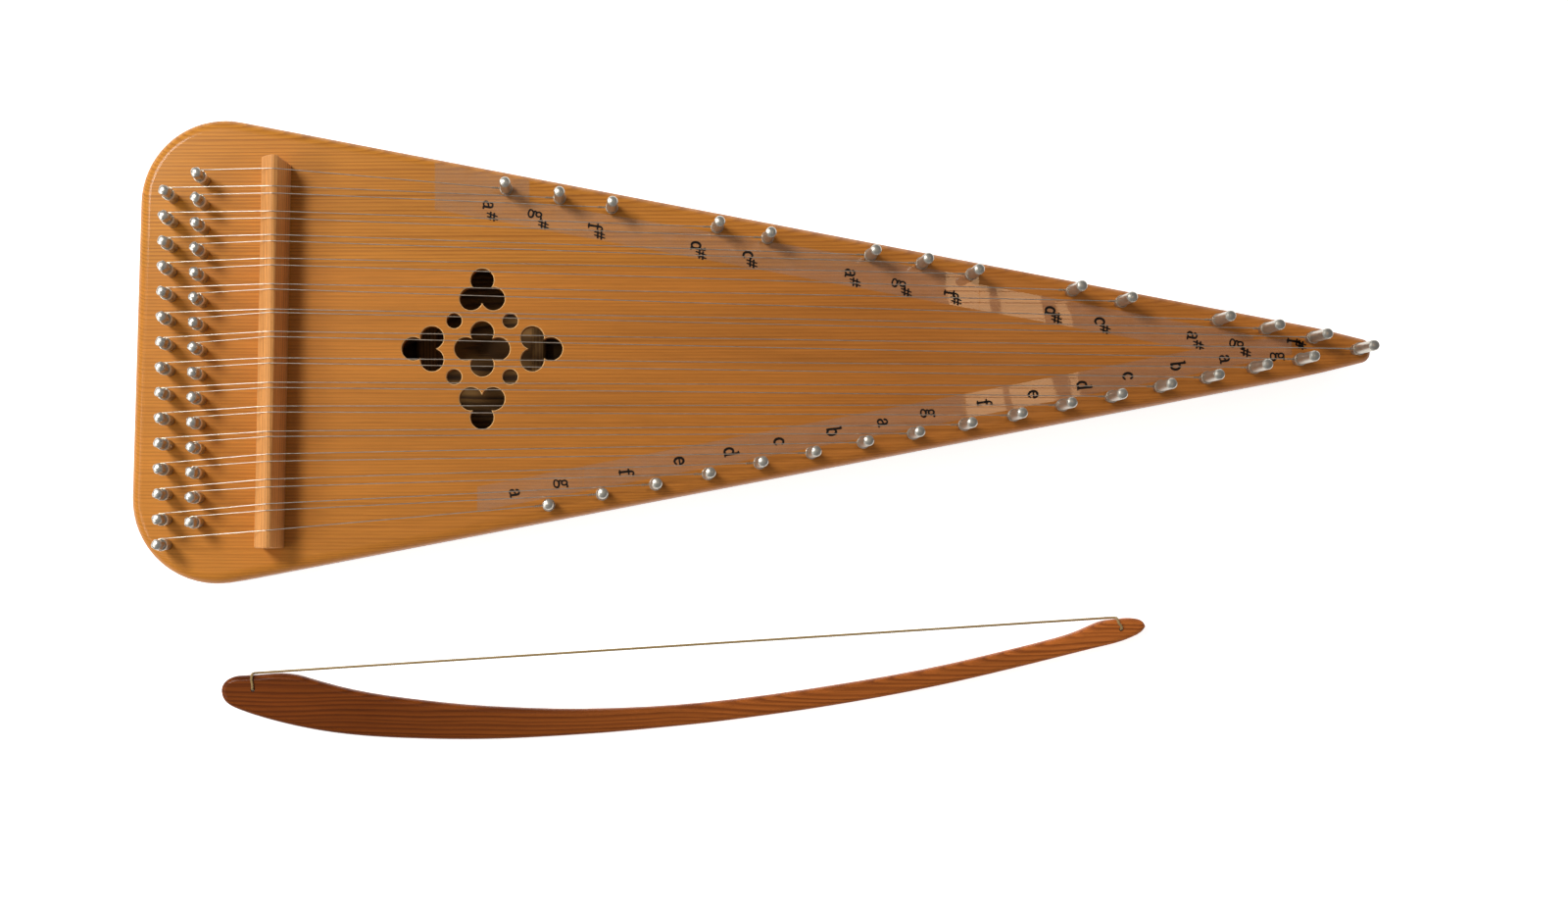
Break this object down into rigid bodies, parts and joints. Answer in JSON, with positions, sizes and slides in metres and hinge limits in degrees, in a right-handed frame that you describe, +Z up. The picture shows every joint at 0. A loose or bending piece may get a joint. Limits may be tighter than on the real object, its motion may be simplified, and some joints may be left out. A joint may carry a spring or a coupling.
{
  "type": "bowed psaltery with bow",
  "caption": "Long triangular wooden zither with a pierced rosette, a slanted bar bridge, turning tuning pins at the wide end, hitch pins along both sides, steel strings and an arched bow.",
  "frame": {"origin": "on the underside of the back plate, on the centreline, straight below the bridge crown", "axes": "+X along the centreline from the wide tuning end to the tip, +Y towards the chromatic (sharps) side, +Z up out of the playing face"},
  "size_m": [0.5851, 0.2967, 0.0655],
  "materials": {
    "soundboard_wood": "satin clear varnish over straight-grained softwood",
    "frame_wood": "satin clear varnish over hardwood",
    "back_wood": "satin clear varnish over flat-sawn wood",
    "brace_wood": "bare planed softwood",
    "bridge_wood": "oiled reddish hardwood",
    "bow_wood": "oiled dark reddish hardwood",
    "pin_steel": "nickel plated",
    "string_steel": "drawn plain steel wire",
    "tape_film": "clear glossy film",
    "label_ink": "printed dark ink",
    "hair_cord": "twisted natural fibre"
  },
  "bodies": {
    "root": {"soundboard_wide_board": "soundboard_wood", "soundboard_narrow_board": "soundboard_wood", "pin_block": "frame_wood", "side_rail_chromatic": "frame_wood", "side_rail_diatonic": "frame_wood", "tip_block": "frame_wood", "back_plate": "back_wood", "bridge_brace": "brace_wood", "soundboard_brace_1": "brace_wood", "soundboard_brace_2": "brace_wood", "soundboard_brace_3": "brace_wood", "back_brace_1": "brace_wood", "back_brace_2": "brace_wood", "back_brace_3": "brace_wood", "bridge": "bridge_wood", "hitch_pins_chromatic": "pin_steel", "hitch_pins_diatonic": "pin_steel", "hitch_pin_tip": "pin_steel", "strings_chromatic": "string_steel", "string_lowest": "string_steel", "strings_diatonic": "string_steel", "note_tape_chromatic": "tape_film", "note_tape_diatonic": "tape_film"},
    "tuning_pin_01": {"tuning_pin_01": "pin_steel"},
    "tuning_pin_02": {"tuning_pin_02": "pin_steel"},
    "tuning_pin_03": {"tuning_pin_03": "pin_steel"},
    "tuning_pin_04": {"tuning_pin_04": "pin_steel"},
    "tuning_pin_05": {"tuning_pin_05": "pin_steel"},
    "tuning_pin_06": {"tuning_pin_06": "pin_steel"},
    "tuning_pin_07": {"tuning_pin_07": "pin_steel"},
    "tuning_pin_08": {"tuning_pin_08": "pin_steel"},
    "tuning_pin_09": {"tuning_pin_09": "pin_steel"},
    "tuning_pin_10": {"tuning_pin_10": "pin_steel"},
    "tuning_pin_11": {"tuning_pin_11": "pin_steel"},
    "tuning_pin_12": {"tuning_pin_12": "pin_steel"},
    "tuning_pin_13": {"tuning_pin_13": "pin_steel"},
    "tuning_pin_14": {"tuning_pin_14": "pin_steel"},
    "tuning_pin_15": {"tuning_pin_15": "pin_steel"},
    "tuning_pin_16": {"tuning_pin_16": "pin_steel"},
    "tuning_pin_17": {"tuning_pin_17": "pin_steel"},
    "tuning_pin_18": {"tuning_pin_18": "pin_steel"},
    "tuning_pin_19": {"tuning_pin_19": "pin_steel"},
    "tuning_pin_20": {"tuning_pin_20": "pin_steel"},
    "tuning_pin_21": {"tuning_pin_21": "pin_steel"},
    "tuning_pin_22": {"tuning_pin_22": "pin_steel"},
    "tuning_pin_23": {"tuning_pin_23": "pin_steel"},
    "tuning_pin_24": {"tuning_pin_24": "pin_steel"},
    "tuning_pin_25": {"tuning_pin_25": "pin_steel"},
    "tuning_pin_26": {"tuning_pin_26": "pin_steel"},
    "tuning_pin_27": {"tuning_pin_27": "pin_steel"},
    "tuning_pin_28": {"tuning_pin_28": "pin_steel"},
    "tuning_pin_29": {"tuning_pin_29": "pin_steel"},
    "tuning_pin_30": {"tuning_pin_30": "pin_steel"},
    "bow": {"bow_stick": "bow_wood", "bow_hair": "hair_cord"}
  },
  "joints": [
    {"name": "tuning_pin_01_turn", "type": "hinge", "parent": "root", "child": "tuning_pin_01", "pos_m": [-0.0349, 0.0798, 0], "axis": [0, 0, 1], "range_deg": [-1170, 60]},
    {"name": "tuning_pin_02_turn", "type": "hinge", "parent": "root", "child": "tuning_pin_02", "pos_m": [-0.0497, 0.0716, 0], "axis": [0, 0, 1], "range_deg": [-1170, 60]},
    {"name": "tuning_pin_03_turn", "type": "hinge", "parent": "root", "child": "tuning_pin_03", "pos_m": [-0.03504, 0.0683, 0], "axis": [0, 0, 1], "range_deg": [-1170, 60]},
    {"name": "tuning_pin_04_turn", "type": "hinge", "parent": "root", "child": "tuning_pin_04", "pos_m": [-0.04986, 0.05994, 0], "axis": [0, 0, 1], "range_deg": [-1170, 60]},
    {"name": "tuning_pin_05_turn", "type": "hinge", "parent": "root", "child": "tuning_pin_05", "pos_m": [-0.03519, 0.0568, 0], "axis": [0, 0, 1], "range_deg": [-1170, 60]},
    {"name": "tuning_pin_06_turn", "type": "hinge", "parent": "root", "child": "tuning_pin_06", "pos_m": [-0.05003, 0.04829, 0], "axis": [0, 0, 1], "range_deg": [-1170, 60]},
    {"name": "tuning_pin_07_turn", "type": "hinge", "parent": "root", "child": "tuning_pin_07", "pos_m": [-0.03533, 0.0453, 0], "axis": [0, 0, 1], "range_deg": [-1170, 60]},
    {"name": "tuning_pin_08_turn", "type": "hinge", "parent": "root", "child": "tuning_pin_08", "pos_m": [-0.05019, 0.03663, 0], "axis": [0, 0, 1], "range_deg": [-1170, 60]},
    {"name": "tuning_pin_09_turn", "type": "hinge", "parent": "root", "child": "tuning_pin_09", "pos_m": [-0.03547, 0.0338, 0], "axis": [0, 0, 1], "range_deg": [-1170, 60]},
    {"name": "tuning_pin_10_turn", "type": "hinge", "parent": "root", "child": "tuning_pin_10", "pos_m": [-0.05036, 0.02497, 0], "axis": [0, 0, 1], "range_deg": [-1170, 60]},
    {"name": "tuning_pin_11_turn", "type": "hinge", "parent": "root", "child": "tuning_pin_11", "pos_m": [-0.03561, 0.0223, 0], "axis": [0, 0, 1], "range_deg": [-1170, 60]},
    {"name": "tuning_pin_12_turn", "type": "hinge", "parent": "root", "child": "tuning_pin_12", "pos_m": [-0.05052, 0.01331, 0], "axis": [0, 0, 1], "range_deg": [-1170, 60]},
    {"name": "tuning_pin_13_turn", "type": "hinge", "parent": "root", "child": "tuning_pin_13", "pos_m": [-0.03576, 0.0108, 0], "axis": [0, 0, 1], "range_deg": [-1170, 60]},
    {"name": "tuning_pin_14_turn", "type": "hinge", "parent": "root", "child": "tuning_pin_14", "pos_m": [-0.05069, 0.00166, 0], "axis": [0, 0, 1], "range_deg": [-1170, 60]},
    {"name": "tuning_pin_15_turn", "type": "hinge", "parent": "root", "child": "tuning_pin_15", "pos_m": [-0.0359, -0.0007, 0], "axis": [0, 0, 1], "range_deg": [-1170, 60]},
    {"name": "tuning_pin_16_turn", "type": "hinge", "parent": "root", "child": "tuning_pin_16", "pos_m": [-0.05085, -0.01, 0], "axis": [0, 0, 1], "range_deg": [-1170, 60]},
    {"name": "tuning_pin_17_turn", "type": "hinge", "parent": "root", "child": "tuning_pin_17", "pos_m": [-0.03604, -0.0122, 0], "axis": [0, 0, 1], "range_deg": [-1170, 60]},
    {"name": "tuning_pin_18_turn", "type": "hinge", "parent": "root", "child": "tuning_pin_18", "pos_m": [-0.05101, -0.02166, 0], "axis": [0, 0, 1], "range_deg": [-1170, 60]},
    {"name": "tuning_pin_19_turn", "type": "hinge", "parent": "root", "child": "tuning_pin_19", "pos_m": [-0.03619, -0.0237, 0], "axis": [0, 0, 1], "range_deg": [-1170, 60]},
    {"name": "tuning_pin_20_turn", "type": "hinge", "parent": "root", "child": "tuning_pin_20", "pos_m": [-0.05118, -0.03331, 0], "axis": [0, 0, 1], "range_deg": [-1170, 60]},
    {"name": "tuning_pin_21_turn", "type": "hinge", "parent": "root", "child": "tuning_pin_21", "pos_m": [-0.03633, -0.0352, 0], "axis": [0, 0, 1], "range_deg": [-1170, 60]},
    {"name": "tuning_pin_22_turn", "type": "hinge", "parent": "root", "child": "tuning_pin_22", "pos_m": [-0.05134, -0.04497, 0], "axis": [0, 0, 1], "range_deg": [-1170, 60]},
    {"name": "tuning_pin_23_turn", "type": "hinge", "parent": "root", "child": "tuning_pin_23", "pos_m": [-0.03647, -0.0467, 0], "axis": [0, 0, 1], "range_deg": [-1170, 60]},
    {"name": "tuning_pin_24_turn", "type": "hinge", "parent": "root", "child": "tuning_pin_24", "pos_m": [-0.05151, -0.05663, 0], "axis": [0, 0, 1], "range_deg": [-1170, 60]},
    {"name": "tuning_pin_25_turn", "type": "hinge", "parent": "root", "child": "tuning_pin_25", "pos_m": [-0.03661, -0.0582, 0], "axis": [0, 0, 1], "range_deg": [-1170, 60]},
    {"name": "tuning_pin_26_turn", "type": "hinge", "parent": "root", "child": "tuning_pin_26", "pos_m": [-0.05167, -0.06829, 0], "axis": [0, 0, 1], "range_deg": [-1170, 60]},
    {"name": "tuning_pin_27_turn", "type": "hinge", "parent": "root", "child": "tuning_pin_27", "pos_m": [-0.03676, -0.0697, 0], "axis": [0, 0, 1], "range_deg": [-1170, 60]},
    {"name": "tuning_pin_28_turn", "type": "hinge", "parent": "root", "child": "tuning_pin_28", "pos_m": [-0.05184, -0.07994, 0], "axis": [0, 0, 1], "range_deg": [-1170, 60]},
    {"name": "tuning_pin_29_turn", "type": "hinge", "parent": "root", "child": "tuning_pin_29", "pos_m": [-0.0369, -0.0812, 0], "axis": [0, 0, 1], "range_deg": [-1170, 60]},
    {"name": "tuning_pin_30_turn", "type": "hinge", "parent": "root", "child": "tuning_pin_30", "pos_m": [-0.052, -0.0916, 0], "axis": [0, 0, 1], "range_deg": [-1170, 60]},
    {"name": "bow_lift", "type": "slide", "parent": "root", "child": "bow", "axis": [0, 0, 1], "range_m": [0, 0.15]}
  ]
}
